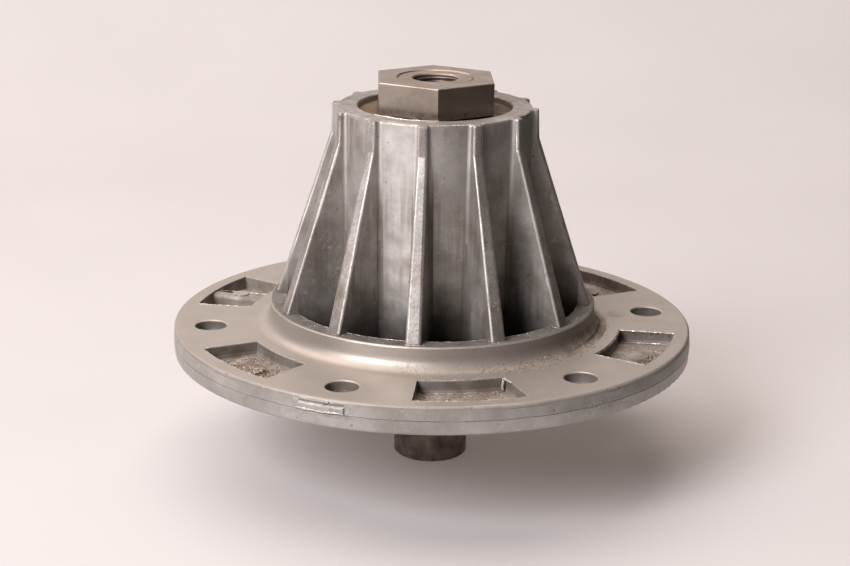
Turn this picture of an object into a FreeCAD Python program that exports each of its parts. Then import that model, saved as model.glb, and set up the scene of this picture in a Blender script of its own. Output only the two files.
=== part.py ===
import FreeCAD, Part
import Sketcher
import os
import re

# Mower deck spindle, in millimetres, cone up and standing on its pulley stub.
# Z is the spindle's axis. Z = 0 is the flange face that seats on the deck, and one bolt hole lies on +X.

doc = FreeCAD.newDocument("DeckSpindle")

sizes = [
    # housing casting
    ("flange_diameter", 222.25, "mounting flange, across its parting line"),
    ("flange_thickness", 11.7, "mounting flange"),
    ("rim_draft", 0.4, "how far the rim falls back from the parting line to each face"),
    ("rim_round", 1.0, "edge radius of the rim"),
    ("pilot_diameter", 139.7, "ring that centres the housing in the deck"),
    ("pilot_height", 10.0, "ring's ledge above the flange face"),
    ("pilot_foot", 5.5, "cove at the ring's foot"),
    ("pilot_bevel", 0.6, "lead-in on the ring's outer edge"),
    ("pilot_wall", 7.2, "ring's ledge, from the pilot in to the cored pit"),
    ("pit_floor", 7.5, "metal left under the pit"),
    ("pit_draft", 1.0, "how much the pit's radius narrows to its floor"),
    ("core_diameter", 82.0, "central tower"),
    ("neck_height", 94.0, "tower's rim above the flange face"),
    ("neck_round", 0.9, "casting radius round the rim and the gussets' tops"),
    ("mouth_bevel", 0.5, "edge break on the bearing bores"),
    ("hub_bore", 57.0, "grease space between the bearings"),
    # gussets
    ("rib_count", 12, "gussets round the tower"),
    ("rib_top_thickness", 4.0, "gusset at the neck"),
    ("rib_foot_thickness", 6.4, "gusset at the ledge"),
    ("rib_top_reach", 2.6, "gusset's stand-off from the tower at the neck"),
    ("rib_kink_reach", 3.1, "the same where the slope begins"),
    ("rib_kink_height", 81.5, "where the slope begins, above the flange face"),
    ("rib_margin", 2.2, "ledge left outside the gusset's foot"),
    ("rib_edge_round", 1.1, "casting radius on the gusset's long edges"),
    ("rib_root_round", 1.5, "casting radius where the gussets leave the tower"),
    # flange holes and pockets
    ("bolt_count", 6, "flange bolts, with a pocket between each two"),
    ("bolt_margin", 15.875, "bolt circle's distance in from the rim"),
    ("bolt_hole", 13.5, "bolt hole diameter"),
    ("bolt_bevel", 0.4, "edge break on the bolt holes"),
    ("pocket_land", 5.25, "flange face left between the cove and the pockets"),
    ("pocket_margin", 6.825, "flange left between the pockets and the rim"),
    ("pocket_angle", 25.3, "pocket's width in degrees"),
    ("pocket_depth", 5.5, "pocket's floor below the flange face"),
    ("pocket_draft", 0.3, "how much each curved wall leans in"),
    ("pin_pad_diameter", 8.8, "ejector pad on a pocket floor"),
    ("pin_pad_height", 1.0, "its height"),
    ("web_thickness", 6.5, "web across one pocket"),
    ("web_turn", 1.1, "web's place past the pocket's middle, in degrees"),
    ("web_drop", 0.9, "web's top below the flange face"),
    ("web_round", 1.5, "radius along the web's top"),
    ("web_pad_diameter", 7.2, "ejector pad on the web"),
    ("web_pad_drop", 0.3, "its top below the flange face"),
    ("gate_angle", 10.0, "remains of the casting gate on the rim, in degrees"),
    ("gate_turn", 239.0, "the gate's angle from +X"),
    ("gate_proud", 0.5, "the gate's stand-off from the parting line"),
    # shaft
    ("stub_diameter", 31.75, "pulley stub"),
    ("stub_length", 47.0, "pulley stub below the collar"),
    ("stub_bevel", 1.0, "edge break on the stub's end"),
    ("track_diameter", 41.275, "collar and sleeve that the seals run on"),
    ("collar_drop", 2.0, "collar's stand-off below the housing, where the pulley seats"),
    ("journal_diameter", 34.925, "bearing seats"),
    ("journal_short", 1.0, "journal's end below the sleeve's top"),
    ("thread_step", 1.5875, "nut thread's radius below the journal's"),
    ("thread_bevel", 0.6, "bevel on the thread's end"),
    ("end_drop", 0.3, "shaft's end below the nut's top"),
    ("blade_bolt", 19.05, "tapped hole for the blade bolt"),
    ("blade_bolt_depth", 45.0, "full depth of that hole"),
    ("pulley_bolt", 15.875, "tapped hole for the pulley bolt"),
    ("pulley_bolt_depth", 36.0, "full depth of that hole"),
    ("bolt_mouth", 0.6, "countersink at both tapped holes"),
    ("drill_tip", 4.0, "drill point at both holes' ends"),
    ("key_width", 6.35, "keyway for the pulley"),
    ("key_depth", 3.3, "keyway below the stub's surface"),
    ("key_length", 34.0, "keyway from the stub's end"),
    # nut, sleeve and spacer
    ("nut_across", 47.625, "nut across flats"),
    ("nut_height", 13.4, "nut"),
    ("nut_turn", 23.7, "one nut corner's angle from +X in the photo"),
    ("nut_edge", 0.35, "edge break on the nut's top"),
    ("sleeve_proud", 0.9, "sleeve's top above the seal, so that the nut clears it"),
    ("spacer_diameter", 41.0, "tube between the bearing cones"),
    ("spacer_clearance", 0.2, "tube's radial room round the journal"),
    # taper roller bearings
    ("cup_diameter", 65.088, "bearing cup and seal, and the housing's seat for both"),
    ("cup_width", 13.97, "bearing cup"),
    ("cup_corner", 1.3, "corner of the cup's back face"),
    ("cone_width", 18.288, "bearing cone"),
    ("bearing_width", 18.034, "cup's back face to cone's back face"),
    ("roller_count", 18, "rollers in each bearing"),
    ("roller_middle", 8.5, "rollers' middle from the cup's back face"),
    ("roller_share", 0.4244, "roller at its middle, as a share of the space between journal and seat"),
    ("roller_length", 12.0, "roller"),
    ("roller_tilt", 12.6, "roller's axis to the spindle's, in degrees"),
    ("roller_taper", 1.6, "roller's half angle, in degrees"),
    ("roller_clearance", 0.04, "running room at the raceways"),
    ("roller_end_clearance", 0.15, "running room at the cone's ribs"),
    ("cone_back_rib", 2.2, "rib behind the rollers' large ends"),
    ("cone_front_rib", 0.5, "rib at their small ends"),
    ("cage_offset", 1.0, "cage's inside, outwards from the rollers' axes"),
    ("cage_thickness", 1.0, "pressed cage"),
    ("cage_end", 1.6, "cage's length past each end of the rollers"),
    ("cage_flange", 2.4, "depth of the cage's turned-in end"),
    ("cage_clearance", 0.2, "rollers' room in the cage windows"),
    # oil seals
    ("seal_width", 9.5, "seal"),
    ("seal_recess", 2.4, "seal's face below the housing's end"),
    ("seal_gap", 0.6, "room between the seal and the bearing cone"),
    ("seal_steel", 1.2, "pressed steel case"),
    ("case_reach", 3.8625, "hole in the case, out from the track"),
    ("lip_clearance", 0.05, "lip's running room on its track"),
    ("lip_depth", 4.85, "lip's edge and spring from the seal's face"),
    ("lip_wall", 1.2, "rubber that carries the lip"),
    ("lip_edge", 0.25, "half the width of the lip's edge"),
    ("lip_head", 1.5, "half the height of the lip's head"),
    ("spring_reach", 2.7625, "garter spring's middle, out from the track"),
    ("spring_wire", 1.8, "garter spring's coil, across"),
    ("spring_clearance", 0.05, "room round the spring in its groove"),
]

sheet = doc.addObject("Spreadsheet::Sheet", "Sizes")
for row, (alias, value, note) in enumerate(sizes, start=1):
    sheet.set(f"A{row}", note)
    sheet.set(f"B{row}", str(value))
    sheet.setAlias(f"B{row}", alias)
doc.recompute()
aliases = {alias for alias, value, note in sizes}

# Heights in the housing's and shaft's own frames, which start at the underside and at the stub's end,
# and distances from the axis
cone_depth = "(seal_recess + seal_width + seal_gap)"
cup_depth = "(seal_recess + seal_width + seal_gap + bearing_width)"
ledge = "(flange_thickness + pilot_height)"
rim = "(flange_thickness + neck_height)"
pit = "(pilot_diameter / 2 - pilot_wall)"
rib_foot = "(pilot_diameter / 2 - rib_margin)"
bolt_ring = "(flange_diameter / 2 - bolt_margin)"
pocket_floor = "(flange_thickness - pocket_depth)"
pocket_inner = "(pilot_diameter / 2 + pilot_foot + pocket_land)"
pocket_outer = "(flange_diameter / 2 - pocket_margin)"
pocket_middle = f"(({pocket_inner} + {pocket_outer}) / 2)"
half_pitch = "(180 / bolt_count)"
sleeve_top = "(neck_height - seal_recess + sleeve_proud)"
shaft_drop = "(flange_thickness + collar_drop + stub_length)"
shaft_end = f"({shaft_drop} + {sleeve_top} + nut_height - end_drop)"
seat = "(cup_diameter / 2)"
thread = "(journal_diameter / 2 - thread_step)"
roller_ring = "((journal_diameter + cup_diameter) / 4)"
roller_radius = "(roller_share * (cup_diameter - journal_diameter) / 4)"
case_hole = "(track_diameter / 2 + case_reach)"
spring_ring = "(track_diameter / 2 + spring_reach)"


def bind(text):
    """Point each size's name in a formula at its cell."""
    return re.sub(r"[a-z_]+", lambda word: "Sizes." + word[0] if word[0] in aliases else word[0], text)


def value_of(text):
    return float(sheet.evalExpression(bind(text)))


def new_body(label):
    body = doc.addObject("PartDesign::Body", label.title().replace("_", ""))
    body.Label = label
    return body


def origin_feature(body, role):
    return next(item for item in body.Origin.OriginFeatures if item.Role == role)


def new_sketch(body, name, role, turn="0", lift="0"):
    """A sketch on one of the body's own planes, turned about the spindle's axis or lifted along it."""
    sketch = body.newObject("Sketcher::SketchObject", name)
    sketch.AttachmentSupport = [(origin_feature(body, role), "")]
    sketch.MapMode = "FlatFace"
    upright = FreeCAD.Vector(0, 0, 1) if role == "XY_Plane" else FreeCAD.Vector(0, 1, 0)
    start = FreeCAD.Vector(0, 0, value_of(lift))
    sketch.AttachmentOffset = FreeCAD.Placement(start, FreeCAD.Rotation(upright, value_of(turn)))
    if turn != "0":
        sketch.setExpression("AttachmentOffset.Rotation.Angle", bind(turn))
    if lift != "0":
        sketch.setExpression("AttachmentOffset.Base.z", bind(lift))
    return sketch


def pin_point(sketch, geometry, point, across, up):
    """Hold one sketch point at two formulas' distances from the sketch's origin."""
    for kind, text in (("DistanceX", across), ("DistanceY", up)):
        constraint = Sketcher.Constraint(kind, -1, 1, geometry, point, value_of(text))
        index = sketch.addConstraint(constraint)
        sketch.setExpression(f"Constraints[{index}]", bind(text))


def outline(body, name, role, points, turn="0", lift="0", axis=None):
    """A closed sketch of straight edges, with a centre line through two points where axis gives them."""
    sketch = new_sketch(body, name, role, turn, lift)
    corners = [FreeCAD.Vector(value_of(across), value_of(up), 0) for across, up in points]
    count = len(points)
    for index in range(count):
        sketch.addGeometry(Part.LineSegment(corners[index], corners[(index + 1) % count]), False)
    for index in range(count):
        sketch.addConstraint(Sketcher.Constraint("Coincident", index, 2, (index + 1) % count, 1))
        pin_point(sketch, index, 1, *points[index])
    if axis:
        ends = [FreeCAD.Vector(value_of(across), value_of(up), 0) for across, up in axis]
        line = sketch.addGeometry(Part.LineSegment(*ends), True)
        pin_point(sketch, line, 1, *axis[0])
        pin_point(sketch, line, 2, *axis[1])
    return sketch


def circle(body, name, across, up, diameter, role="XY_Plane", turn="0", lift="0"):
    sketch = new_sketch(body, name, role, turn, lift)
    middle = FreeCAD.Vector(value_of(across), value_of(up), 0)
    ring = Part.Circle(middle, FreeCAD.Vector(0, 0, 1), value_of(diameter) / 2)
    index = sketch.addGeometry(ring, False)
    pin_point(sketch, index, 3, across, up)
    width = sketch.addConstraint(Sketcher.Constraint("Diameter", index, value_of(diameter)))
    sketch.setExpression(f"Constraints[{width}]", bind(diameter))
    return sketch


def turned(body, kind, sketch, angle=None, axis="V_Axis"):
    """A Revolution or Groove about the sketch's upright axis, or about its centre line."""
    feature = body.newObject("PartDesign::" + kind, sketch.Name + kind)
    feature.Profile = sketch
    feature.ReferenceAxis = (sketch, [axis])
    feature.Angle = 360
    if angle:
        feature.setExpression("Angle", bind(angle))
        feature.Midplane = True
    doc.recompute()
    return feature


def pushed(body, kind, sketch, length=None, both_ways=False, reverse=False):
    """A Pad or Pocket, through all where it has no length."""
    feature = body.newObject("PartDesign::" + kind, sketch.Name + kind)
    feature.Profile = sketch
    feature.Reversed = reverse
    if both_ways:
        feature.SideType = "Symmetric"
    if length:
        feature.setExpression("Length", bind(length))
    else:
        feature.Type = "ThroughAll"
    doc.recompute()
    return feature


def ringed(body, feature, count, angle="360"):
    """Copies of a feature round the spindle's axis."""
    pattern = body.newObject("PartDesign::PolarPattern", feature.Name + "Ring")
    pattern.Originals = [feature]
    pattern.Axis = (origin_feature(body, "Z_Axis"), [""])
    pattern.setExpression("Angle", bind(angle))
    pattern.setExpression("Occurrences", bind(count))
    body.Tip = pattern
    doc.recompute()
    return pattern


def dressed(body, kind, name, edges, size):
    """A Fillet or Chamfer on the edges of the body's shape so far that pass a test."""
    base = body.Tip
    names = [f"Edge{n}" for n, edge in enumerate(base.Shape.Edges, start=1) if edges(edge)]
    feature = body.newObject("PartDesign::" + kind, name)
    feature.Base = (base, names)
    feature.setExpression("Radius" if kind == "Fillet" else "Size", bind(size))
    doc.recompute()
    return feature


def circle_at(diameter, height):
    """A test for round edges about the spindle's axis."""
    radius = value_of(diameter) / 2
    level = value_of(height)

    def test(edge):
        if not isinstance(edge.Curve, Part.Circle):
            return False
        middle = edge.Curve.Center
        central = abs(middle.x) + abs(middle.y) < 0.001
        return central and abs(middle.z - level) < 0.001 and abs(edge.Curve.Radius - radius) < 0.001

    return test


def place(item, height, flipped=False):
    """Seat a piece along the axis, turned over for the lower end."""
    turn = FreeCAD.Rotation(FreeCAD.Vector(1, 0, 0), 180 if flipped else 0)
    item.Placement = FreeCAD.Placement(FreeCAD.Vector(0, 0, value_of(height)), turn)
    item.setExpression("Placement.Base.z", bind(height))


def make_housing():
    body = new_body("spindle_housing")
    rim_face = "(flange_diameter - 2 * rim_draft)"
    casting = outline(body, "Casting", "XZ_Plane", [
        ("0", "0"),
        (f"{rim_face} / 2", "0"),
        ("flange_diameter / 2", "flange_thickness / 2"),
        (f"{rim_face} / 2", "flange_thickness"),
        ("pilot_diameter / 2", "flange_thickness"),
        ("pilot_diameter / 2", ledge),
        (pit, ledge),
        (f"{pit} - pit_draft", "pit_floor"),
        ("core_diameter / 2", "pit_floor"),
        ("core_diameter / 2", rim),
        ("0", rim)])
    turned(body, "Revolution", casting)

    # gussets: tapered walls from the axis outwards, then turned to the slope
    lean = f"(rib_foot_thickness - rib_top_thickness) / 2 / ({rim} - {ledge})"
    sunk_foot = "(pit_floor / 2)"
    sunk_half = f"(rib_top_thickness / 2 + {lean} * ({rim} - {sunk_foot}))"
    rib = outline(body, "Gusset", "YZ_Plane", [
        (f"-{sunk_half}", sunk_foot),
        (sunk_half, sunk_foot),
        ("rib_top_thickness / 2", rim),
        ("-rib_top_thickness / 2", rim)], turn="180 / rib_count")
    wall = pushed(body, "Pad", rib, rib_foot)
    ringed(body, wall, "rib_count")
    kink = "(core_diameter / 2 + rib_kink_reach)"
    kink_height = "(flange_thickness + rib_kink_height)"
    top_reach = "(core_diameter / 2 + rib_top_reach)"
    slope = outline(body, "Slope", "XZ_Plane", [
        (rib_foot, ledge),
        (kink, kink_height),
        (top_reach, rim),
        ("pilot_diameter / 2", rim),
        ("pilot_diameter / 2", ledge)])
    turned(body, "Groove", slope)

    foot_radius = value_of(rib_foot)
    rim_height = value_of(rim)
    outer = [(foot_radius, value_of(ledge)), (value_of(kink), value_of(kink_height)),
             (value_of(top_reach), rim_height)]

    def long_edge(edge):
        ends = [(point.X ** 2 + point.Y ** 2, point.Z) for point in edge.Vertexes]
        marks = {n for n, (reach, height) in enumerate(outer)
                 for square, z in ends if abs(z - height) < 0.01 and abs(square ** 0.5 - reach) < 0.2}
        return len(marks) == 2

    dressed(body, "Fillet", "GussetRound", long_edge, "rib_edge_round")
    core_radius = value_of("core_diameter / 2")
    core_length = value_of(f"{rim} - pit_floor")

    def root_edge(edge):
        reaches = [(point.X ** 2 + point.Y ** 2) ** 0.5 for point in edge.Vertexes]
        on_core = all(abs(reach - core_radius) < 0.001 for reach in reaches)
        return on_core and abs(edge.BoundBox.ZLength - core_length) < 0.01

    dressed(body, "Fillet", "GussetRoot", root_edge, "rib_root_round")

    def neck_edge(edge):
        return all(abs(point.Z - rim_height) < 0.001 for point in edge.Vertexes)

    dressed(body, "Fillet", "NeckRound", neck_edge, "neck_round")

    # pockets between the bolts, with an ejector pad in each and a web across one
    pocket = outline(body, "FlangePocket", "XZ_Plane", [
        (pocket_inner, "flange_thickness"),
        (pocket_outer, "flange_thickness"),
        (f"{pocket_outer} - pocket_draft", pocket_floor),
        (f"{pocket_inner} + pocket_draft", pocket_floor)], turn=half_pitch)
    ringed(body, turned(body, "Groove", pocket, "pocket_angle"), "bolt_count")
    pin_pad = circle(body, "PinPad", pocket_middle, "0", "pin_pad_diameter",
                     turn=f"7 * {half_pitch}", lift=pocket_floor)
    ringed(body, pushed(body, "Pad", pin_pad, "pin_pad_height"), "bolt_count - 1",
           "360 / bolt_count * (bolt_count - 2)")
    web = outline(body, "PocketWeb", "XZ_Plane", [
        (f"{pocket_inner} - web_thickness / 2", f"{pocket_floor} / 2"),
        (f"{pocket_outer} + web_thickness / 2", f"{pocket_floor} / 2"),
        (f"{pocket_outer} + web_thickness / 2", "flange_thickness - web_drop"),
        (f"{pocket_inner} - web_thickness / 2", "flange_thickness - web_drop")],
        turn=f"5 * {half_pitch} + web_turn")
    pushed(body, "Pad", web, "web_thickness", both_ways=True)
    web_top = value_of("flange_thickness - web_drop")

    def web_edge(edge):
        level = all(abs(point.Z - web_top) < 0.001 for point in edge.Vertexes)
        return level and isinstance(edge.Curve, Part.Line)

    dressed(body, "Fillet", "WebRound", web_edge, "web_round")
    web_pad = circle(body, "WebPad", pocket_middle, "0", "web_pad_diameter",
                     turn=f"5 * {half_pitch}", lift=pocket_floor)
    pushed(body, "Pad", web_pad, "pocket_depth - web_pad_drop")

    hole = circle(body, "BoltHole", bolt_ring, "0", "bolt_hole")
    ringed(body, pushed(body, "Pocket", hole, reverse=True), "bolt_count")

    bolt_radius = value_of("bolt_hole / 2")
    bolt_reach = value_of(bolt_ring)

    def bolt_edge(edge):
        if not isinstance(edge.Curve, Part.Circle):
            return False
        middle = edge.Curve.Center
        on_ring = abs((middle.x ** 2 + middle.y ** 2) ** 0.5 - bolt_reach) < 0.001
        return on_ring and abs(edge.Curve.Radius - bolt_radius) < 0.001

    dressed(body, "Chamfer", "BoltBevel", bolt_edge, "bolt_bevel")

    # where the metal ran in, broken off and left standing on the rim
    gate = outline(body, "Gate", "XZ_Plane", [
        ("flange_diameter / 2 - 2 * rim_draft", "flange_thickness / 2 + gate_proud / 2"),
        ("flange_diameter / 2 + gate_proud", "flange_thickness / 2 + gate_proud"),
        ("flange_diameter / 2 + gate_proud", "flange_thickness - 3 * rim_round"),
        ("flange_diameter / 2 - 3 * rim_draft", "flange_thickness - 2 * rim_round")], turn="gate_turn")
    turned(body, "Revolution", gate, "gate_angle")

    # one bored seat at each end takes a bearing cup and a seal
    bore = outline(body, "Bore", "XZ_Plane", [
        ("0", "0"),
        (f"{seat} + mouth_bevel", "0"),
        (seat, "mouth_bevel"),
        (seat, cup_depth),
        ("hub_bore / 2", cup_depth),
        ("hub_bore / 2", f"{rim} - {cup_depth}"),
        (seat, f"{rim} - {cup_depth}"),
        (seat, f"{rim} - mouth_bevel"),
        (f"{seat} + mouth_bevel", rim),
        ("0", rim)])
    turned(body, "Groove", bore)

    dressed(body, "Fillet", "PilotFoot", circle_at("pilot_diameter", "flange_thickness"), "pilot_foot")
    dressed(body, "Fillet", "RimTop", circle_at(rim_face, "flange_thickness"), "rim_round")
    dressed(body, "Fillet", "RimUnder", circle_at(rim_face, "0"), "rim_round")
    dressed(body, "Chamfer", "PilotBevel", circle_at("pilot_diameter", ledge), "pilot_bevel")
    place(body, "-flange_thickness")
    return body


def make_shaft():
    body = new_body("spindle_shaft")
    collar_top = f"(stub_length + collar_drop + {cone_depth})"
    journal_end = f"({shaft_drop} + {sleeve_top} - journal_short)"
    steps = outline(body, "ShaftSteps", "XZ_Plane", [
        ("0", "0"),
        ("stub_diameter / 2 - stub_bevel", "0"),
        ("stub_diameter / 2", "stub_bevel"),
        ("stub_diameter / 2", "stub_length"),
        ("track_diameter / 2", "stub_length"),
        ("track_diameter / 2", collar_top),
        ("journal_diameter / 2", collar_top),
        ("journal_diameter / 2", journal_end),
        (thread, journal_end),
        (thread, f"{shaft_end} - thread_bevel"),
        (f"{thread} - thread_bevel", shaft_end),
        ("0", shaft_end)])
    turned(body, "Revolution", steps)
    blade_hole = outline(body, "BladeBoltHole", "XZ_Plane", [
        ("0", shaft_end),
        ("blade_bolt / 2 + bolt_mouth", shaft_end),
        ("blade_bolt / 2", f"{shaft_end} - bolt_mouth"),
        ("blade_bolt / 2", f"{shaft_end} - blade_bolt_depth"),
        ("0", f"{shaft_end} - blade_bolt_depth - drill_tip")])
    turned(body, "Groove", blade_hole)
    pulley_hole = outline(body, "PulleyBoltHole", "XZ_Plane", [
        ("0", "0"),
        ("pulley_bolt / 2 + bolt_mouth", "0"),
        ("pulley_bolt / 2", "bolt_mouth"),
        ("pulley_bolt / 2", "pulley_bolt_depth"),
        ("0", "pulley_bolt_depth + drill_tip")])
    turned(body, "Groove", pulley_hole)
    keyway = outline(body, "Keyway", "XY_Plane", [
        ("-key_width / 2", "stub_diameter / 2 - key_depth"),
        ("key_width / 2", "stub_diameter / 2 - key_depth"),
        ("key_width / 2", "stub_diameter / 2 + key_depth"),
        ("-key_width / 2", "stub_diameter / 2 + key_depth")])
    pushed(body, "Pocket", keyway, "key_length", reverse=True)
    place(body, f"-{shaft_drop}")
    return body


def make_nut():
    body = new_body("hex_nut")
    corners = [f"(nut_turn + {60 * step})" for step in range(6)]
    reach = "nut_across / 2 / cos(30)"
    hexagon = outline(body, "Hexagon", "XY_Plane",
                      [(f"{reach} * cos({turn})", f"{reach} * sin({turn})") for turn in corners])
    pushed(body, "Pad", hexagon, "nut_height")
    height = value_of("nut_height")

    def top_edge(edge):
        return all(abs(point.Z - height) < 0.001 for point in edge.Vertexes)

    dressed(body, "Chamfer", "NutEdge", top_edge, "nut_edge")
    bore = outline(body, "NutBore", "XZ_Plane", [
        ("0", "0"),
        (f"{thread} + thread_bevel", "0"),
        (thread, "thread_bevel"),
        (thread, "nut_height - thread_bevel"),
        (f"{thread} + thread_bevel", "nut_height"),
        ("0", "nut_height")])
    turned(body, "Groove", bore)
    place(body, sleeve_top)
    return body


def make_tube(label, inside, outside, length, height):
    """A plain turned ring between two diameters."""
    body = new_body(label)
    section = outline(body, body.Name + "Section", "XZ_Plane", [
        (f"{inside} / 2", "0"),
        (f"{outside} / 2", "0"),
        (f"{outside} / 2", length),
        (f"{inside} / 2", length)])
    turned(body, "Revolution", section)
    place(body, height)
    return body


def on_roller(along, out):
    """A point in the bearing's section, from the roller's middle along its axis and outwards from it."""
    across = f"{roller_ring} + ({along}) * sin(roller_tilt) + ({out}) * cos(roller_tilt)"
    up = f"roller_middle + ({along}) * cos(roller_tilt) - ({out}) * sin(roller_tilt)"
    return across, up


def raceway(side, angle, height):
    """A raceway's radius at a height: the roller's surface line, moved off by the running room."""
    reach = f"({roller_radius} + roller_clearance)"
    start = f"{roller_ring} {side} {reach} * cos(roller_tilt)"
    return f"({start} + ({height} - roller_middle {side} {reach} * sin(roller_tilt)) * tan({angle}))"


def roller_section(body, name, extra_radius="0", extra_length="0"):
    """Half a tapered roller, with its own axis as the centre line."""
    half = f"(roller_length / 2 + {extra_length})"
    rise = f"{half} * tan(roller_taper)"
    radius = f"({roller_radius} + {extra_radius})"
    small_end = on_roller(f"-{half}", "0")
    large_end = on_roller(half, "0")
    return outline(body, name, "XZ_Plane", [
        small_end,
        large_end,
        on_roller(half, f"{radius} + {rise}"),
        on_roller(f"-{half}", f"{radius} - {rise}")], axis=(small_end, large_end))


def make_bearing(end, height, flipped):
    """Cup, cone, rollers and cage, drawn from the cup's back face outwards."""
    cup = new_body(f"{end}_bearing_cup")
    outward = "(roller_tilt + roller_taper)"
    section = outline(cup, cup.Name + "Section", "XZ_Plane", [
        (f"{seat} - cup_corner", "0"),
        (seat, "cup_corner"),
        (seat, "cup_width"),
        (raceway("+", outward, "cup_width"), "cup_width"),
        (raceway("+", outward, "0"), "0")])
    turned(cup, "Revolution", section)

    cone = new_body(f"{end}_bearing_cone")
    reach = "(roller_length / 2 + roller_end_clearance)"
    surface = f"({roller_radius} + roller_clearance)"
    flare = f"{reach} * tan(roller_taper)"
    large_root = on_roller(reach, f"-{surface} - {flare}")
    large_tip = on_roller(reach, f"-{surface} - {flare} + cone_back_rib")
    small_root = on_roller(f"-{reach}", f"-{surface} + {flare}")
    small_tip = on_roller(f"-{reach}", f"-{surface} + {flare} + cone_front_rib")
    section = outline(cone, cone.Name + "Section", "XZ_Plane", [
        ("journal_diameter / 2", "bearing_width - cone_width"),
        (small_tip[0], "bearing_width - cone_width"),
        small_tip,
        small_root,
        large_root,
        large_tip,
        (large_tip[0], "bearing_width"),
        ("journal_diameter / 2", "bearing_width")])
    turned(cone, "Revolution", section)

    rollers = new_body(f"{end}_bearing_rollers")
    section = roller_section(rollers, rollers.Name + "Section")
    ringed(rollers, turned(rollers, "Revolution", section, axis="Axis0"), "roller_count")

    cage = new_body(f"{end}_bearing_cage")
    start = "(roller_length / 2 + cage_end)"
    inside = "cage_offset"
    outside = "cage_offset + cage_thickness"
    section = outline(cage, cage.Name + "Section", "XZ_Plane", [
        on_roller(f"-{start}", f"{inside} - cage_flange"),
        on_roller(f"-{start} + cage_thickness", f"{inside} - cage_flange"),
        on_roller(f"-{start} + cage_thickness", inside),
        on_roller(start, inside),
        on_roller(start, outside),
        on_roller(f"-{start}", outside)])
    turned(cage, "Revolution", section)
    window = roller_section(cage, cage.Name + "Window", "cage_clearance", "cage_clearance")
    ringed(cage, turned(cage, "Groove", window, axis="Axis0"), "roller_count")

    pieces = [cup, cone, rollers, cage]
    for piece in pieces:
        place(piece, height, flipped)
    return pieces


def make_seal(end, height, flipped):
    """Steel case, rubber lip and garter spring, drawn from the inner side to the outer face."""
    case = new_body(f"{end}_seal_case")
    section = outline(case, case.Name + "Section", "XZ_Plane", [
        (f"{seat} - seal_steel", "0"),
        (seat, "0"),
        (seat, "seal_width"),
        (case_hole, "seal_width"),
        (case_hole, "seal_width - seal_steel"),
        (f"{seat} - seal_steel", "seal_width - seal_steel")])
    turned(case, "Revolution", section)

    lip = new_body(f"{end}_seal_lip")
    track = "(track_diameter / 2 + lip_clearance)"
    edge = "(seal_width - lip_depth)"
    inner = f"({case_hole} - 2 * lip_wall)"
    outer = f"({spring_ring} + lip_edge)"
    section = outline(lip, lip.Name + "Section", "XZ_Plane", [
        (case_hole, "seal_width - seal_steel"),
        (case_hole, "seal_width"),
        (inner, "seal_width"),
        (track, "seal_width - lip_edge"),
        (track, "seal_width - 3 * lip_edge"),
        (inner, "seal_width - seal_steel"),
        (inner, f"{edge} + lip_head"),
        (track, f"{edge} + lip_edge"),
        (track, f"{edge} - lip_edge"),
        (inner, f"{edge} - lip_head"),
        (outer, f"{edge} - lip_head"),
        (outer, f"{edge} + lip_head"),
        (f"{case_hole} - lip_wall", "seal_width - seal_steel")])
    turned(lip, "Revolution", section)
    groove = circle(lip, lip.Name + "SpringGroove", spring_ring, edge,
                    "spring_wire + 2 * spring_clearance", role="XZ_Plane")
    turned(lip, "Groove", groove)

    spring = doc.addObject("Part::Torus", f"{end.title()}SealSpring")
    spring.Label = f"{end}_seal_spring"
    spring.setExpression("Radius1", bind(spring_ring))
    spring.setExpression("Radius2", bind("spring_wire / 2"))

    pieces = [case, lip]
    for piece in pieces:
        place(piece, height, flipped)
    place(spring, f"{height} {'-' if flipped else '+'} {edge}")
    return pieces + [spring]


parts = [make_housing(), make_shaft(), make_nut()]
parts.append(make_tube("upper_wear_sleeve", "journal_diameter", "track_diameter",
                       f"{sleeve_top} - (neck_height - {cone_depth})", f"neck_height - {cone_depth}"))
lower_cone_front = f"(-flange_thickness + {cone_depth} + cone_width)"
upper_cone_front = f"(neck_height - {cone_depth} - cone_width)"
parts.append(make_tube("bearing_spacer", "(journal_diameter + 2 * spacer_clearance)", "spacer_diameter",
                       f"{upper_cone_front} - {lower_cone_front}", lower_cone_front))
parts += make_bearing("upper", f"neck_height - {cup_depth}", False)
parts += make_bearing("lower", f"-flange_thickness + {cup_depth}", True)
parts += make_seal("upper", "neck_height - seal_recess - seal_width", False)
parts += make_seal("lower", "-flange_thickness + seal_recess + seal_width", True)
doc.recompute()

for item in doc.Objects:
    if {"Invalid", "Error"} & set(item.State):
        raise RuntimeError(f"{item.Label} did not rebuild")
for part in parts:
    if part.Shape.isNull() or not part.Shape.isValid():
        raise RuntimeError(f"{part.Label} has no valid shape")

os.makedirs("parts", exist_ok=True)
for part in parts:
    part.Shape.exportStep(f"parts/{part.Label}.step")
    box = part.Shape.BoundBox
    print(f"{part.Label}: {len(part.Shape.Solids)} solids, {part.Shape.Volume / 1000:.2f} cm3, "
          f"z {box.ZMin:.2f} to {box.ZMax:.2f}")
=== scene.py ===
import bpy
import math
from mathutils import Matrix, Vector


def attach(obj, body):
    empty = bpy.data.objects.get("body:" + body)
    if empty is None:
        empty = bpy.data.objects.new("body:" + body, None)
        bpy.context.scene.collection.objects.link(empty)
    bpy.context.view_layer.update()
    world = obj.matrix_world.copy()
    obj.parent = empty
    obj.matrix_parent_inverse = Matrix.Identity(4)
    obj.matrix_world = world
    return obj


# Mower deck spindle on a pale paper sweep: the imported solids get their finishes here, and the small
# things that a casting collects (grit, burrs, flash, thread turns) are added as pieces of their own.

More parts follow.
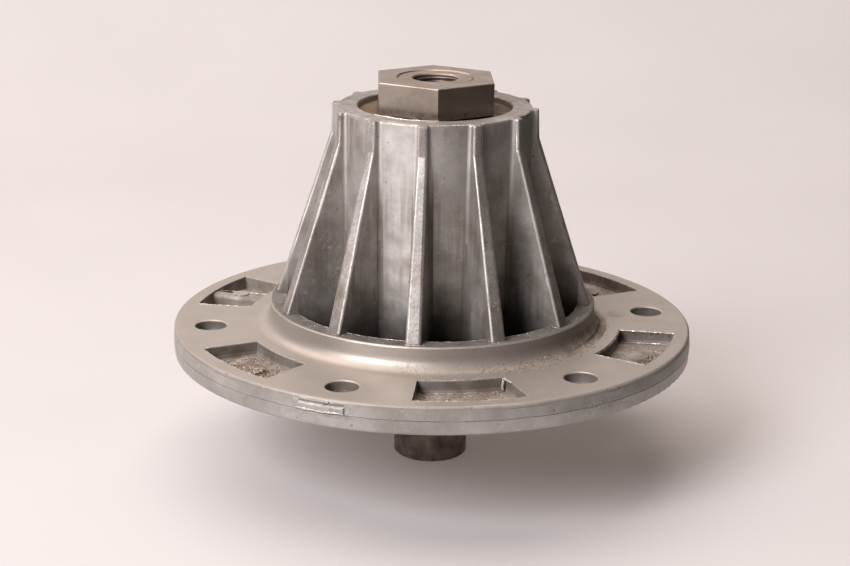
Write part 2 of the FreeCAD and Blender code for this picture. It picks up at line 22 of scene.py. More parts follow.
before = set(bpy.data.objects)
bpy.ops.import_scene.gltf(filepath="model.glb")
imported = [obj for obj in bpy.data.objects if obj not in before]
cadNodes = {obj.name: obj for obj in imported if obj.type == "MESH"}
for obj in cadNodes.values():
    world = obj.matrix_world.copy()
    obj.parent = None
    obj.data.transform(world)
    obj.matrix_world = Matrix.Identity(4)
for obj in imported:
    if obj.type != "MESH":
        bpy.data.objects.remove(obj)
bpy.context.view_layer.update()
scene = bpy.context.scene
mm = 0.001


def hexColour(code):
    # sRGB hex to the linear colour that a socket takes
    channels = [int(code[start:start + 2], 16) / 255 for start in (1, 3, 5)]
    linear = [c / 12.92 if c <= 0.04045 else ((c + 0.055) / 1.055) ** 2.4 for c in channels]
    return (*linear, 1.0)


def addNode(tree, kind, sockets=None, **settings):
    # a node with its settings; a socket gets a number, or a link where another node's socket is given
    node = tree.nodes.new(kind)
    for name, value in settings.items():
        setattr(node, name, value)
    for key, value in (sockets or {}).items():
        if isinstance(value, bpy.types.NodeSocket):
            tree.links.new(value, node.inputs[key])
        else:
            node.inputs[key].default_value = value
    return node


def newMaterial(name):
    material = bpy.data.materials.new(name)
    material.use_nodes = True
    tree = material.node_tree
    return material, tree, tree.nodes["Principled BSDF"]


def partCoords(tree):
    # the point in millimetres, then its distance from the spindle's axis, its angle in degrees and
    # its height
    spot = addNode(tree, "ShaderNodeTexCoord").outputs["Object"]
    point = addNode(tree, "ShaderNodeVectorMath", {0: spot, "Scale": 1000.0}, operation="SCALE").outputs[0]
    axes = addNode(tree, "ShaderNodeSeparateXYZ", {0: point})
    flat = addNode(tree, "ShaderNodeCombineXYZ", {0: axes.outputs[0], 1: axes.outputs[1]})
    radius = addNode(tree, "ShaderNodeVectorMath", {0: flat.outputs[0]},
                     operation="LENGTH").outputs["Value"]
    angle = addNode(tree, "ShaderNodeMath", {0: axes.outputs[1], 1: axes.outputs[0]}, operation="ARCTAN2")
    degrees = addNode(tree, "ShaderNodeMath", {0: angle.outputs[0]}, operation="DEGREES").outputs[0]
    return point, radius, degrees, axes.outputs[2]


def between(tree, value, low, high, soft):
    # 1 inside the span and 0 outside, with soft ends
    rise = addNode(tree, "ShaderNodeMapRange", {"Value": value, "From Min": low - soft,
                                                "From Max": low + soft},
                   interpolation_type="SMOOTHSTEP").outputs[0]
    fall = addNode(tree, "ShaderNodeMapRange", {"Value": value, "From Min": high + soft,
                                                "From Max": high - soft},
                   interpolation_type="SMOOTHSTEP").outputs[0]
    return addNode(tree, "ShaderNodeMath", {0: rise, 1: fall}, operation="MULTIPLY").outputs[0]


def allOf(tree, *masks):
    product = masks[0]
    for mask in masks[1:]:
        product = addNode(tree, "ShaderNodeMath", {0: product, 1: mask}, operation="MULTIPLY").outputs[0]
    return product


def anyOf(tree, *masks):
    most = masks[0]
    for mask in masks[1:]:
        most = addNode(tree, "ShaderNodeMath", {0: most, 1: mask}, operation="MAXIMUM").outputs[0]
    return most


def patches(tree, point, size, low, high, detail=3.0, stretch=(1.0, 1.0, 1.0)):
    # blotches about this many millimetres across, 0 below the low mark and 1 above the high one
    place = addNode(tree, "ShaderNodeMapping", {"Vector": point, "Scale": stretch}).outputs[0]
    cloud = addNode(tree, "ShaderNodeTexNoise", {"Vector": place, "Scale": 1 / size,
                                                 "Detail": detail}).outputs[0]
    return addNode(tree, "ShaderNodeMapRange", {"Value": cloud, "From Min": low,
                                                "From Max": high}).outputs[0]


def coats(tree, colour, *layers):
    # colours laid over each other, each with the mask that says where it lies
    for mask, over in layers:
        colour = addNode(tree, "ShaderNodeMix", {0: mask, 6: colour, 7: over}, data_type="RGBA").outputs[2]
    return colour


def zones(tree, value, *places):
    # one number everywhere, and another in each masked place
    for mask, other in places:
        value = addNode(tree, "ShaderNodeMix", {0: mask, 2: value, 3: other}).outputs[0]
    return value


def wornEdges(tree, width, noise):
    # where a rounded edge would turn away from the flat face, broken up by noise; also gives that
    # rounded normal
    rounded = addNode(tree, "ShaderNodeBevel", {"Radius": width * mm}, samples=4).outputs[0]
    face = addNode(tree, "ShaderNodeNewGeometry").outputs["Normal"]
    same = addNode(tree, "ShaderNodeVectorMath", {0: rounded, 1: face},
                   operation="DOT_PRODUCT").outputs["Value"]
    edge = addNode(tree, "ShaderNodeMapRange", {"Value": same, "From Min": 0.985,
                                                "From Max": 0.88}).outputs[0]
    return rounded, allOf(tree, edge, noise)


# Die-cast aluminium alloy, turned where it seats on the deck. The die leaves a satin grey skin with
# cloudy flow marks, up-and-down drag lines and small pits; the turned faces are paler, warmer and
# ringed; corners hold soil and painted shade, and a painted highlight runs up the gusset roots.
housingLook = {
    "castDark": "#98958f", "castLight": "#b2aea9", "castClean": "#cbc8c3", "castStainAndShade": "#7a7268",
    "castBrown": "#66584a",
    "turnedDark": "#968f86", "turnedLight": "#a69f97", "bright": "#d8d3cc",
    "grimeAndShade": "#241e17", "dust": "#64574a", "rust": "#6e3d22",
    "castRough": (0.40, 0.52), "turnedRough": (0.44, 0.54), "edgeRough": 0.28, "metal": 0.72,
    "pitRadius": 62.65, "pilotRadius": 69.85, "cove": 5.5,
    "gussetPitch": 30.0, "gussetFoot": (10.0, 67.65, 3.2), "gussetKink": (81.5, 44.1),
    "gussetTop": (94.0, 43.6, 2.0),
    "mottle": 24.0,        # mm across a flow cloud
    "blotch": 3.6,         # mm across the small stains in it
    "drag": 2.0,           # mm between drag lines, real ones are finer
    "grain": 1.3,          # mm, the real skin is nearer 0.4 and wouldn't show
    "pitting": 1.7,        # mm between pits
    "ringPitch": 1.2,      # mm, drawn coarser than the real 0.25 feed so that it shows
    "edge": 0.35,          # mm of rubbed edge
}


def castAluminium(look):
    material, tree, shader = newMaterial("die cast aluminium, turned seats")
    point, radius, degrees, height = partCoords(tree)

    # zones
    deckFace = allOf(tree, between(tree, height, -0.25, 9.75, 0.06),
                     between(tree, radius, 69.2, 130.0, 0.1))
    neckRim = allOf(tree, between(tree, height, 93.3, 99.0, 0.3), between(tree, radius, 20.0, 46.0, 0.1))
    seats = between(tree, radius, 10.0, 32.9, 0.1)
    turned = anyOf(tree, deckFace, seats)
    rim = between(tree, radius, 109.9, 130.0, 0.15)
    pocket = allOf(tree, between(tree, height, -6.0, -0.35, 0.1), between(tree, radius, 79.5, 105.0, 0.2))
    ledge = allOf(tree, between(tree, height, 9.8, 10.4, 0.1),
                  between(tree, radius, look["pitRadius"] - 1, look["pilotRadius"] - 0.5, 0.2))
    cove = allOf(tree, between(tree, radius, look["pilotRadius"], look["pilotRadius"] + look["cove"], 0.5),
                 between(tree, height, -0.4, look["cove"] + 0.2, 0.5))

    # gussets: how far a point lies from the middle of its gusset, and where the sloping face is at
    # that height
    folded = addNode(tree, "ShaderNodeMath", {0: degrees, 1: look["gussetPitch"]},
                     operation="FLOORED_MODULO").outputs[0]
    swing = addNode(tree, "ShaderNodeMath", {0: folded, 1: look["gussetPitch"] / 2},
                    operation="SUBTRACT").outputs[0]
    lean = addNode(tree, "ShaderNodeMath", {0: swing}, operation="RADIANS").outputs[0]
    sideways = addNode(tree, "ShaderNodeMath", {0: lean}, operation="SINE").outputs[0]
    off = addNode(tree, "ShaderNodeMath", {0: allOf(tree, sideways, radius)},
                  operation="ABSOLUTE").outputs[0]
    footHeight, footReach, footHalf = look["gussetFoot"]
    kinkHeight, kinkReach = look["gussetKink"]
    topHeight, topReach, topHalf = look["gussetTop"]
    slope = addNode(tree, "ShaderNodeMapRange", {"Value": height, "From Min": footHeight,
                                                 "From Max": kinkHeight,
                                                 "To Min": footReach, "To Max": kinkReach}).outputs[0]
    draft = addNode(tree, "ShaderNodeMapRange", {"Value": height, "From Min": kinkHeight,
                                                 "From Max": topHeight,
                                                 "To Min": 0.0, "To Max": kinkReach - topReach}).outputs[0]
    half = addNode(tree, "ShaderNodeMapRange", {"Value": height, "From Min": footHeight,
                                                "From Max": topHeight,
                                                "To Min": footHalf, "To Max": topHalf}).outputs[0]
    face = addNode(tree, "ShaderNodeMath", {0: slope, 1: draft}, operation="SUBTRACT").outputs[0]
    inward = addNode(tree, "ShaderNodeMath", {0: face, 1: radius}, operation="SUBTRACT").outputs[0]
    flank = addNode(tree, "ShaderNodeMath", {0: half, 1: off}, operation="SUBTRACT").outputs[0]
    onTower = between(tree, height, footHeight + 0.3, topHeight + 0.5, 0.2)
    gussetFace = allOf(tree, onTower, between(tree, inward, -2.0, 0.35, 0.15))
    gussetEdge = allOf(tree, onTower, between(tree, inward, -2.0, 0.55, 0.3),
                       between(tree, flank, -2.0, 0.55, 0.3))

    # skin
    gate = allOf(tree, rim, between(tree, degrees, -127.5, -114.5, 1.0),
                 between(tree, height, -7.0, -1.0, 0.6))
    clouds = patches(tree, point, look["mottle"], 0.36, 0.64, 6.0)
    drag = patches(tree, point, look["drag"], 0.36, 0.68, 2.0, (1.0, 1.0, 0.05))
    grain = patches(tree, point, look["grain"], 0.25, 0.75, 2.0)
    pits = patches(tree, point, look["pitting"], 0.735, 0.78, 1.0)
    rub = patches(tree, point, 2.6, 0.36, 0.56, 3.0)
    rounded, edges = wornEdges(tree, look["edge"], rub)
    skin = coats(tree, hexColour(look["castDark"]), (clouds, hexColour(look["castLight"])))
    # one tower panel, the one turned towards the key light, coloured in the pale clean tone
    paleTowerPanel = allOf(tree, between(tree, degrees, -132.0, -108.0, 2.0), between(tree, radius, 38.0, 47.0, 0.5),
                  between(tree, height, 14.0, 95.0, 4.0))
    skin = coats(tree, skin, (paleTowerPanel, hexColour(look["castClean"])))
    tower = allOf(tree, between(tree, height, 10.6, 92.6, 0.3), between(tree, radius, 38.0, 68.5, 0.3))
    skin = coats(tree, skin, (allOf(tree, drag, patches(tree, point, 30.0, 0.46, 0.74), tower),
                              hexColour(look["castStainAndShade"])))
    fine = patches(tree, point, look["blotch"], 0.36, 0.64, 6.0)
    skin = coats(tree, skin, (allOf(tree, fine, 0.20), hexColour(look["castStainAndShade"])))
    spark = patches(tree, point, look["grain"], 0.60, 0.70, 3.0)
    skin = coats(tree, skin, (allOf(tree, spark, 0.25), hexColour(look["castClean"])))
    low = addNode(tree, "ShaderNodeMapRange", {"Value": height, "From Min": 75.0, "From Max": 12.0,
                                               "To Min": 0.15, "To Max": 0.6}).outputs[0]
    aboveFlange = between(tree, height, -5.0, 120.0, 0.3)      # the pit and what stands over it
    smudge = allOf(tree, patches(tree, point, 11.0, 0.44, 0.66, 5.0), low, aboveFlange,
                   between(tree, radius, 30.0, 68.5, 0.3))
    skin = coats(tree, skin, (smudge, hexColour(look["castBrown"])))
    ripple = addNode(tree, "ShaderNodeTexNoise", {"Vector": point, "Scale": 1 / 3.2,
                                                  "Detail": 2.0}).outputs[0]
    worms = allOf(tree, between(tree, ripple, 0.485, 0.505, 0.008), patches(tree, point, 9.0, 0.54, 0.62),
                  between(tree, height, 10.5, 60.0, 8.0))
    freckle = patches(tree, point, 0.8, 0.44, 0.62, 2.0)
    skin = coats(tree, skin, (allOf(tree, gussetFace, freckle, 0.45), hexColour(look["castStainAndShade"])))

    # turned faces: rings follow the radius on the flat and the height on the pilot's wall
    along = addNode(tree, "ShaderNodeMath", {0: radius, 1: height}, operation="ADD").outputs[0]
    waver = patches(tree, point, 9.0, 0.2, 0.8, 2.0)
    phase = addNode(tree, "ShaderNodeMath", {0: along, 1: 2 * math.pi / look["ringPitch"], 2: waver},
                    operation="MULTIPLY_ADD").outputs[0]
    rings = addNode(tree, "ShaderNodeMath", {0: phase}, operation="SINE").outputs[0]
    smears = patches(tree, point, 22.0, 0.25, 0.85, 4.0)
    bare = coats(tree, hexColour(look["turnedLight"]), (smears, hexColour(look["turnedDark"])))
    colour = coats(tree, skin, (turned, bare))
    offTower = addNode(tree, "ShaderNodeMath", {0: 1.0, 1: tower}, operation="SUBTRACT").outputs[0]
    highPart = addNode(tree, "ShaderNodeMapRange", {"Value": height, "From Min": 52.0,
                                                    "From Max": 78.0}).outputs[0]
    corner = allOf(tree, onTower, between(tree, radius, 40.5, 42.7, 0.25),
                   between(tree, flank, -1.9, 0.4, 0.25))
    # painted shade: the gusset roots are darkened low down so that their highlight fades out
    dullAndShaded = allOf(tree, corner, addNode(tree, "ShaderNodeMath", {0: 1.0, 1: highPart},
                                             operation="SUBTRACT").outputs[0])
    # painted highlight along the gusset roots, high on the tower
    cornerHighlight = allOf(tree, between(tree, radius, 40.5, 41.9, 0.25),
                       between(tree, flank, -1.3, -0.2, 0.25), highPart,
                       onTower, patches(tree, point, 14.0, 0.26, 0.58))
    offGate = addNode(tree, "ShaderNodeMath", {0: 1.0, 1: gate}, operation="SUBTRACT").outputs[0]
    # painted shade on the gate pad's top and end and on the rim's top edge, dimming their highlights
    gateTop = allOf(tree, rim, between(tree, degrees, -126.0, -116.0, 0.1),
                    between(tree, height, -2.5, -1.6, 0.05))
    gateEnd = allOf(tree, between(tree, degrees, -116.2, -115.6, 0.1),
                    between(tree, height, -5.6, -1.6, 0.2),
                    between(tree, radius, 111.22, 113.0, 0.03))
    rimEdge = allOf(tree, rim, between(tree, height, -1.3, 0.2, 0.2), 0.45)
    dullAndShaded = anyOf(tree, dullAndShaded, gateTop, gateEnd, rimEdge)
    # the bright coat: rubbed edges, rounded gusset edges and worm marks, and the painted highlight up the
    # gusset roots
    shine = anyOf(tree, allOf(tree, edges, offTower, offGate, 0.8), allOf(tree, cornerHighlight, 0.7),
                  allOf(tree, gussetEdge, patches(tree, point, 8.0, 0.30, 0.54, 4.0)),
                  allOf(tree, worms, 0.7))
    colour = coats(tree, colour, (shine, hexColour(look["bright"])))
    # the painted shade laid on in the stain tone, over the gusset roots, the gate pad and the rim's top
    # edge
    colour = coats(tree, colour, (allOf(tree, dullAndShaded, 0.6), hexColour(look["castStainAndShade"])))

    # what lies on it, and painted shade and shadow in its hollows and under its edges
    speckle = patches(tree, point, 1.2, 0.52, 0.62, 2.0)
    deep = addNode(tree, "ShaderNodeMapRange", {"Value": height, "From Min": 30.0,
                                                "From Max": 2.0}).outputs[0]
    # darker towards the pit's bottom: soil, and painted shade in the hollow
    inPit = allOf(tree, between(tree, radius, 40.0, look["pitRadius"] + 0.2, 0.4), deep, aboveFlange,
                  patches(tree, point, 14.0, -0.25, 0.45))
    dirtyCove = allOf(tree, cove, between(tree, degrees, -58.0, -6.0, 9.0),
                      patches(tree, point, 6.0, 0.22, 0.56), 0.85)
    coveLine = allOf(tree, between(tree, degrees, -44.0, -10.0, 5.0), between(tree, height, 0.8, 1.3, 0.35),
                     between(tree, radius, look["pilotRadius"], look["pilotRadius"] + look["cove"], 0.5),
                     patches(tree, point, 9.0, 0.24, 0.50))
    fleckedCove = allOf(tree, cove, between(tree, degrees, -110.0, 20.0, 8.0), speckle)
    # the ledge darkened in patches: a film of soil, and painted shade from the gussets
    ledgeDirtAndShade = allOf(tree, ledge, patches(tree, point, 5.0, 0.08, 0.42))
    rimFilm = allOf(tree, neckRim, patches(tree, point, 4.0, 0.12, 0.85))
    # the parting line: a shallow groove in the bump, and a dark band of painted shadow under the flash lip
    parting = addNode(tree, "ShaderNodeMath", {0: waver, 1: 0.5, 2: height},
                      operation="MULTIPLY_ADD").outputs[0]
    partingGrooveShadow = allOf(tree, rim, between(tree, parting, -5.72, -5.45, 0.08),
                        patches(tree, point, 12.0, 0.28, 0.48))
    toolLine = allOf(tree, rim, between(tree, height, -1.75, -1.5, 0.1),
                     patches(tree, point, 25.0, 0.50, 0.60))
    scuff = allOf(tree, rim, between(tree, degrees, -66.0, -55.0, 1.5),
                  between(tree, height, -8.2, -3.4, 0.8),
                  patches(tree, point, 0.8, 0.44, 0.72))
    pocketFilm = allOf(tree, pocket, patches(tree, point, 7.0, 0.18, 0.60, 4.0))
    onFloor = between(tree, height, -6.0, -4.4, 0.15)
    notWeb = addNode(tree, "ShaderNodeMath", {0: 1.0, 1: between(tree, degrees, 137.0, 163.0, 0.3)},
                     operation="SUBTRACT").outputs[0]
    wallShade = allOf(tree, pocket, between(tree, height, -4.0, -0.6, 0.25), notWeb)
    fullPocket = allOf(tree, pocket, between(tree, degrees, -165.0, -135.0, 1.0))
    pilotFilm = allOf(tree, between(tree, radius, 69.0, 75.0, 0.5), between(tree, height, 0.6, 9.4, 0.6),
                      between(tree, degrees, -100.0, 10.0, 14.0), patches(tree, point, 16.0, 0.28, 0.66))
    pocketDust = allOf(tree, pocketFilm, zones(tree, 0.86, (fullPocket, 0.97)))
    spotAway = addNode(tree, "ShaderNodeVectorMath", {0: point, 1: (70.3, -12.4, 0.6)},
                       operation="DISTANCE")
    spotEdge = addNode(tree, "ShaderNodeMath", {0: speckle, 1: 0.8, 2: spotAway.outputs["Value"]},
                       operation="MULTIPLY_ADD").outputs[0]
    smearAway = addNode(tree, "ShaderNodeVectorMath", {0: point, 1: (80.5, -3.0, 0.0)},
                        operation="DISTANCE")
    smear = allOf(tree, between(tree, smearAway.outputs["Value"], -1.0, 4.0, 2.2), deckFace,
                  patches(tree, point, 3.0, 0.28, 0.62), 0.5)
    # painted shade in one corner of the right-hand pocket
    cornerAway = addNode(tree, "ShaderNodeVectorMath", {0: point, 1: (77.6, -24.9, -2.6)},
                         operation="DISTANCE")
    cornerShade = allOf(tree, between(tree, cornerAway.outputs["Value"], -1.0, 3.0, 1.4), pocket,
                       patches(tree, point, 1.6, 0.30, 0.55), 0.85)
    # painted shadow on a pocket wall just below its burred top edge
    shadowBelowBurr = allOf(tree, pocket, between(tree, degrees, -18.6, -16.6, 0.3),
                     between(tree, height, -2.0, -0.4, 0.3),
                     patches(tree, point, 1.4, 0.46, 0.60), 0.8)
    rust = allOf(tree, between(tree, spotEdge, -1.0, 2.9, 0.9), patches(tree, point, 1.8, 0.30, 0.55))
    pitDirt = allOf(tree, pits, zones(tree, 0.55, (turned, 0.15)))
    dust = anyOf(tree, allOf(tree, pilotFilm, 0.45), pocketDust, allOf(tree, fleckedCove, 0.3),
                 dirtyCove, allOf(tree, rimFilm, 0.4), smear)
    # the dark coat: soil, scuffs and the gate's marks, with the painted shade and shadow from the masks
    # above, the pocket walls' included
    grimeAndShade = anyOf(tree, allOf(tree, wallShade, 0.35), inPit, coveLine, allOf(tree, partingGrooveShadow, 0.6),
                  allOf(tree, scuff, 0.40), allOf(tree, ledgeDirtAndShade, 0.72), allOf(tree, rimFilm, 0.50),
                  allOf(tree, gate, patches(tree, point, 2.8, 0.36, 0.74), 0.25), cornerShade, shadowBelowBurr)
    colour = coats(tree, colour, (pitDirt, hexColour(look["grimeAndShade"])), (dust, hexColour(look["dust"])),
                   (toolLine, hexColour(look["castStainAndShade"])), (grimeAndShade, hexColour(look["grimeAndShade"])),
                   (rust, hexColour(look["rust"])))
    # all that is laid on, painted shade included, is rough and not metallic
    dirtAndShade = anyOf(tree, grimeAndShade, dust, rust)

    castRough = zones(tree, look["castRough"][0], (clouds, look["castRough"][1]))
    turnedRough = zones(tree, look["turnedRough"][0], (smears, look["turnedRough"][1]))
    rough = zones(tree, zones(tree, castRough, (turned, turnedRough)), (shine, look["edgeRough"]))
    rough = zones(tree, rough, (anyOf(tree, dirtAndShade, dullAndShaded), 0.88))

    # heights in millimetres
    swell = patches(tree, point, 8.0, 0.2, 0.8, 2.0)
    castRise = addNode(tree, "ShaderNodeMath", {0: grain, 1: 0.028, 2: allOf(tree, swell, 0.10)},
                       operation="MULTIPLY_ADD").outputs[0]
    castRise = addNode(tree, "ShaderNodeMath", {0: pits, 1: -0.05, 2: castRise},
                       operation="MULTIPLY_ADD").outputs[0]
    ringRise = allOf(tree, rings, 0.0022)
    rise = zones(tree, castRise, (turned, ringRise))
    rise = addNode(tree, "ShaderNodeMath", {0: partingGrooveShadow, 1: -0.18, 2: rise},
                   operation="MULTIPLY_ADD").outputs[0]
    scabs = allOf(tree, patches(tree, point, 0.9, 0.3, 0.7, 3.0),
                  anyOf(tree, allOf(tree, scuff, 0.4), allOf(tree, pocketFilm, onFloor, 0.35)))
    gateLumps = allOf(tree, gate, patches(tree, point, 3.2, 0.28, 0.72, 4.0))
    scabs = addNode(tree, "ShaderNodeMath", {0: gateLumps, 1: 2.4, 2: scabs},
                    operation="MULTIPLY_ADD").outputs[0]
    rise = addNode(tree, "ShaderNodeMath", {0: scabs, 1: 0.14, 2: rise},
                   operation="MULTIPLY_ADD").outputs[0]
    bump = addNode(tree, "ShaderNodeBump", {"Strength": 1.0, "Distance": mm, "Height": rise,
                                            "Normal": rounded})
    tree.links.new(colour, shader.inputs["Base Color"])
    tree.links.new(rough, shader.inputs["Roughness"])
    tree.links.new(zones(tree, look["metal"], (dirtAndShade, 0.0)), shader.inputs["Metallic"])
    tree.links.new(bump.outputs[0], shader.inputs["Normal"])
    return material


def steelFinish(name, look):
    # one recipe for the steel pieces: two tones in blotches, fine tool lines round the axis, oil or
    # rust, rubbed edges, and painted shade down a tapped hole
    material, tree, shader = newMaterial(name)
    point, radius, degrees, height = partCoords(tree)
    blotch = patches(tree, point, look["blotch"], 0.36, 0.64, 4.0)
    grain = patches(tree, point, look["grain"], 0.3, 0.7, 3.0, look.get("stretch", (1.0, 1.0, 1.0)))
    rub = patches(tree, point, 1.8, *look.get("rub", (0.38, 0.60)), 3.0)
    rounded, edges = wornEdges(tree, look["edge"], rub)
    colour = coats(tree, hexColour(look["light"]), (blotch, hexColour(look["dark"])))
    colour = coats(tree, colour, (allOf(tree, grain, 0.35), hexColour(look["dark"])))
    stainAndShade = allOf(tree, patches(tree, point, look["blotch"] * 0.6, *look["stainMarks"]),
                  between(tree, height, *look.get("stainSpan", (-200.0, 200.0)), 1.0))
    # painted shade down the tapped holes; the thread crests are left out of it
    bore = allOf(tree, between(tree, radius, look.get("crest", 0.0), look.get("bore", 0.0), 0.05),
                 between(tree, height, -58.0, 105.2, 0.3))
    stainAndShade = anyOf(tree, stainAndShade, allOf(tree, bore, 0.7))
    specks = allOf(tree, patches(tree, point, 0.75, 0.60, 0.70, 2.0), patches(tree, point, 6.0, 0.36, 0.60))
    stainAndShade = anyOf(tree, stainAndShade, allOf(tree, specks, look.get("speck", 0.0)))
    colour = coats(tree, colour, (stainAndShade, hexColour(look["stainAndShade"])))
    colour = coats(tree, colour, (allOf(tree, edges, look["edgeShine"]), hexColour(look["bright"])))
    along = addNode(tree, "ShaderNodeMath", {0: radius, 1: height}, operation="ADD").outputs[0]
    rings = addNode(tree, "ShaderNodeMath", {0: allOf(tree, along, 2 * math.pi / look["ringPitch"])},
                    operation="SINE").outputs[0]
    rise = addNode(tree, "ShaderNodeMath", {0: rings, 1: look["ringDepth"],
                                            2: allOf(tree, grain, look["grainDepth"])},
                   operation="MULTIPLY_ADD").outputs[0]
    bump = addNode(tree, "ShaderNodeBump", {"Strength": 1.0, "Distance": mm, "Height": rise,
                                            "Normal": rounded})
    rough = zones(tree, look["rough"][0], (anyOf(tree, blotch, stainAndShade), look["rough"][1]))
    tree.links.new(colour, shader.inputs["Base Color"])
    tree.links.new(rough, shader.inputs["Roughness"])
    tree.links.new(zones(tree, 1.0, (stainAndShade, look["stainMetal"])), shader.inputs["Metallic"])
    tree.links.new(bump.outputs[0], shader.inputs["Normal"])
    return material


# Medium carbon steel hexagon, milled and left oily: brown-grey, with bright rubbed corners and a
# dark oil line low down
nutLook = {"light": "#a79c91", "dark": "#8f8479", "bright": "#e2d9cf", "stainAndShade": "#5a4c40",
           "blotch": 9.0, "grain": 0.9, "stainMarks": (0.42, 0.62), "stainSpan": (90.0, 95.6),
           "stainMetal": 0.55, "edge": 0.22, "edgeShine": 0.9, "rub": (0.52, 0.64), "speck": 0.55,
           "ringPitch": 0.9, "ringDepth": 0.0, "grainDepth": 0.012, "rough": (0.34, 0.50)}
# Turned shaft steel with an oil-brown skin: fine lathe rings, darker where the pulley hub sat
shaftLook = {"light": "#ab9f94", "dark": "#8b7e72", "bright": "#c9beb2", "stainAndShade": "#2f261f",
             "blotch": 9.0, "grain": 0.8, "stainMarks": (0.14, 0.90), "stainSpan": (-70.0, -12.0),
             "stainMetal": 0.6, "edge": 0.4, "edgeShine": 0.7, "bore": 9.6, "crest": 9.15,
             "ringPitch": 0.8, "ringDepth": 0.004, "grainDepth": 0.010, "rough": (0.34, 0.54)}
# Ground bearing-track steel: the smoothest and brightest of the lot
groundLook = {"light": "#b6b2ad", "dark": "#99948e", "bright": "#e2dfda", "stainAndShade": "#5b4a38",
              "blotch": 10.0, "grain": 0.6, "stainMarks": (0.60, 0.72), "stainMetal": 0.8, "edge": 0.25,
              "edgeShine": 0.6, "ringPitch": 0.5, "ringDepth": 0.001, "grainDepth": 0.002,
              "rough": (0.14, 0.26)}
# Drawn tube, dull grey with lengthwise lines
tubeLook = {"light": "#8d8883", "dark": "#716b65", "bright": "#bdb8b1", "stainAndShade": "#4a3a2b",
            "blotch": 12.0, "grain": 0.9, "stainMarks": (0.56, 0.70), "stainMetal": 0.6, "edge": 0.3,
            "edgeShine": 0.5, "stretch": (1.0, 1.0, 0.06), "ringPitch": 0.9, "ringDepth": 0.0,
            "grainDepth": 0.012, "rough": (0.36, 0.52)}
# Hardened and ground bearing steel under a film of grease
bearingLook = {"light": "#bdbab6", "dark": "#a29e99", "bright": "#e6e4e0", "stainAndShade": "#6d5a3a",
               "blotch": 6.0, "grain": 0.6, "stainMarks": (0.56, 0.70), "stainMetal": 0.8, "edge": 0.25,
               "edgeShine": 0.6, "ringPitch": 0.5, "ringDepth": 0.001, "grainDepth": 0.002,
               "rough": (0.12, 0.24)}
# Pressed cage strip, phosphate grey
cageLook = {"light": "#7f7a74", "dark": "#625d57", "bright": "#b3aea7", "stainAndShade": "#51432f",
            "blotch": 5.0, "grain": 0.7, "stainMarks": (0.54, 0.68), "stainMetal": 0.7, "edge": 0.2,
            "edgeShine": 0.6, "ringPitch": 0.8, "ringDepth": 0.0, "grainDepth": 0.010,
            "rough": (0.38, 0.55)}
# Pressed seal case with dried grease and dust on it: tan to olive, dull, reddish bits where it
# meets its neighbours
sealLook = {"light": "#7d6c5a", "dark": "#625344", "bright": "#b9ab99", "stainAndShade": "#4b3a2c",
            "blotch": 4.0, "grain": 0.9, "stainMarks": (0.26, 0.82), "stainMetal": 0.0, "edge": 0.3,
            "edgeShine": 0.4, "ringPitch": 1.0, "ringDepth": 0.003, "grainDepth": 0.015,
            "rough": (0.48, 0.80)}
# Garter spring wire, drawn and oiled
springLook = {"light": "#a5a09a", "dark": "#837d76", "bright": "#d2cec8", "stainAndShade": "#5a4a34",
              "blotch": 3.0, "grain": 0.5, "stainMarks": (0.56, 0.70), "stainMetal": 0.7, "edge": 0.15,
              "edgeShine": 0.5, "ringPitch": 0.5, "ringDepth": 0.0, "grainDepth": 0.004,
              "rough": (0.25, 0.40)}
# Nitrile rubber: near-black, soft sheen, grey dust in blotches
rubberLook = {"rubber": "#1c1b1a", "dust": "#5a5147", "rough": (0.46, 0.74), "blotch": 3.5,
              "grain": 0.8}


def sealRubber(look):
    material, tree, shader = newMaterial("nitrile rubber, dusty")
    point, radius, degrees, height = partCoords(tree)
    film = patches(tree, point, look["blotch"], 0.46, 0.72, 4.0)
    grain = patches(tree, point, look["grain"], 0.3, 0.7)
    bump = addNode(tree, "ShaderNodeBump", {"Strength": 1.0, "Distance": mm,
                                            "Height": allOf(tree, grain, 0.015)})
    colour = coats(tree, hexColour(look["rubber"]), (film, hexColour(look["dust"])))
    tree.links.new(colour, shader.inputs["Base Color"])
    tree.links.new(zones(tree, look["rough"][0], (film, look["rough"][1])), shader.inputs["Roughness"])
    tree.links.new(bump.outputs[0], shader.inputs["Normal"])
    return material


housingMetal = castAluminium(housingLook)
shaftSteel = steelFinish("turned shaft steel, oil brown", shaftLook)
bearingSteel = steelFinish("ground bearing steel, greased", bearingLook)
finishes = {
    "spindle_housing": housingMetal,
    "spindle_shaft": shaftSteel,
    "hex_nut": steelFinish("milled nut steel, oily", nutLook),
    "upper_wear_sleeve": steelFinish("ground track steel", groundLook),
    "bearing_spacer": steelFinish("drawn tube steel", tubeLook),
    "bearing_cup": bearingSteel,
    "bearing_cone": bearingSteel,
    "bearing_rollers": bearingSteel,
    "bearing_cage": steelFinish("pressed cage steel, phosphated", cageLook),
    "seal_case": steelFinish("pressed seal steel, dusty", sealLook),
    "seal_lip": sealRubber(rubberLook),
    "seal_spring": steelFinish("spring wire, oiled", springLook),
}
for nodeName, node in cadNodes.items():
    finish = next(paint for ending, paint in finishes.items() if nodeName.endswith(ending))
    for slot in node.material_slots:
        slot.material = finish
print("finishes:", len(bpy.data.materials), "materials on the solids")


def keepPiece(name, made, body):
    # the evaluated result as a plain mesh at the origin, riding on its body
    graph = bpy.context.evaluated_depsgraph_get()
    mesh = bpy.data.meshes.new_from_object(made.evaluated_get(graph))
    mesh.name = name
    piece = bpy.data.objects.new(name, mesh)
    scene.collection.objects.link(piece)
    bpy.data.objects.remove(made)
    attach(piece, body)
    print(name, "faces:", len(mesh.polygons))
    return piece


